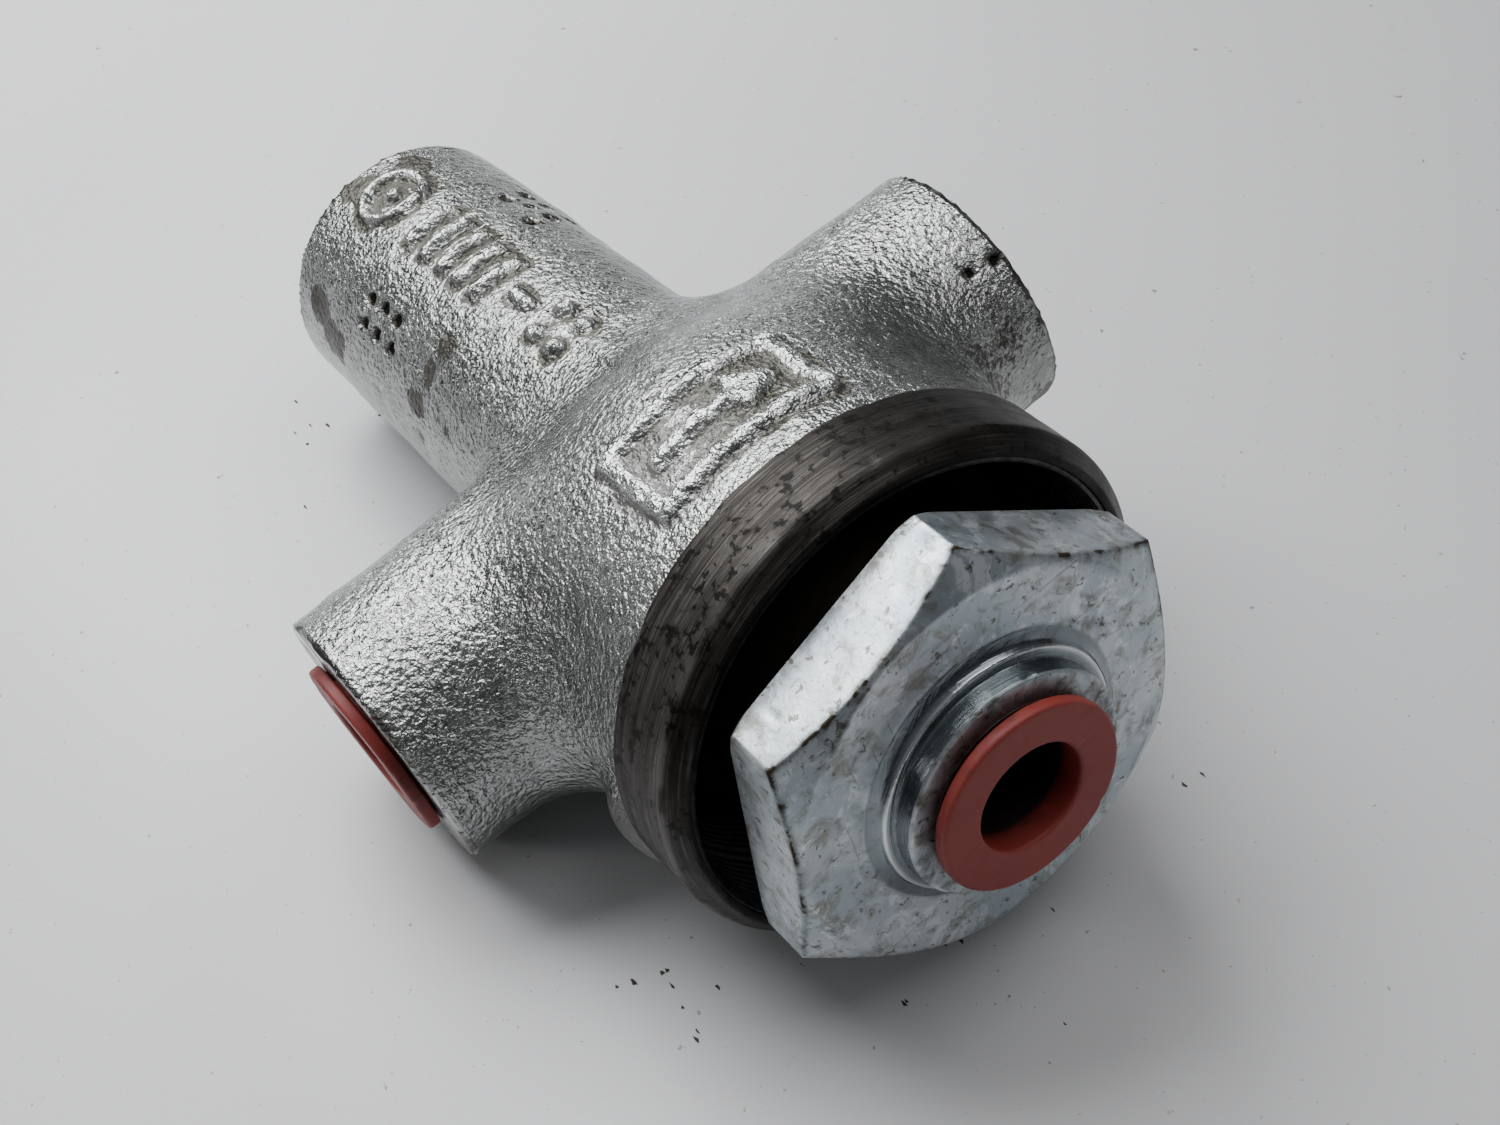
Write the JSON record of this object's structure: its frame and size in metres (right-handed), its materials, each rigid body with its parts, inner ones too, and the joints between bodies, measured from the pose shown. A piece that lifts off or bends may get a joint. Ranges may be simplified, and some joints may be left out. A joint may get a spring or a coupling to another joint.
{
  "type": "cartridge valve",
  "caption": "Non-return cartridge valve in a zinc-plated cast body with two threaded side arms, a machined round spigot, a large hexagon cartridge head and red dust caps.",
  "frame": {"origin": "on the main axis, midway along the machined outer spigot at the open end of the casting", "axes": "+X along the main axis towards the hexagon head, +Y along the right side arm, +Z towards the side with the raised casting marks"},
  "size_m": [0.1409, 0.0946, 0.0648],
  "materials": {
    "zinc_casting": "zinc-plated sand casting, rough, bright speckled grey",
    "zinc_plate": "bluish bright zinc plating, lightly scratched",
    "steel": "machined bare steel",
    "spring_steel": "drawn spring wire",
    "bronze": "perforated bronze sheet",
    "rubber": "nitrile rubber, matt",
    "ptfe": "white PTFE",
    "aluminium_seal": "soft flat washer",
    "red_plastic": "red polyethylene, matt with scuffs"
  },
  "bodies": {
    "valve": {"valve_body": "zinc_casting", "cartridge_head": "zinc_plate", "head_seal_washer": "steel", "head_seal_rubber": "rubber", "head_o_ring": "rubber", "head_backup_ring": "ptfe", "seat_ring": "steel", "seat_o_ring": "rubber", "inlet_strainer": "bronze", "strainer_circlip": "steel", "flow_cage": "steel", "cage_o_ring": "rubber", "cage_backup_ring": "ptfe", "poppet_spring": "spring_steel", "spring_seat": "steel", "shim_washers": "steel", "cage_circlip": "steel", "rear_plug": "zinc_plate", "rear_plug_seal": "aluminium_seal"},
    "poppet": {"poppet": "steel", "poppet_guide_ring": "ptfe"},
    "front_cap": {"front_port_cap": "red_plastic"},
    "left_cap": {"left_port_cap": "red_plastic"}
  },
  "joints": [
    {"name": "poppet_lift", "type": "slide", "parent": "valve", "child": "poppet", "axis": [-1, 0, 0], "range_m": [0, 0.005], "stiffness_N_per_m": 2500, "springref_m": -0.004, "deforming": ["poppet_spring"]},
    {"name": "front_cap_pull", "type": "slide", "parent": "valve", "child": "front_cap", "axis": [1, 0, 0], "range_m": [0, 0.02]},
    {"name": "left_cap_pull", "type": "slide", "parent": "valve", "child": "left_cap", "axis": [0, -1, 0], "range_m": [0, 0.02]}
  ]
}
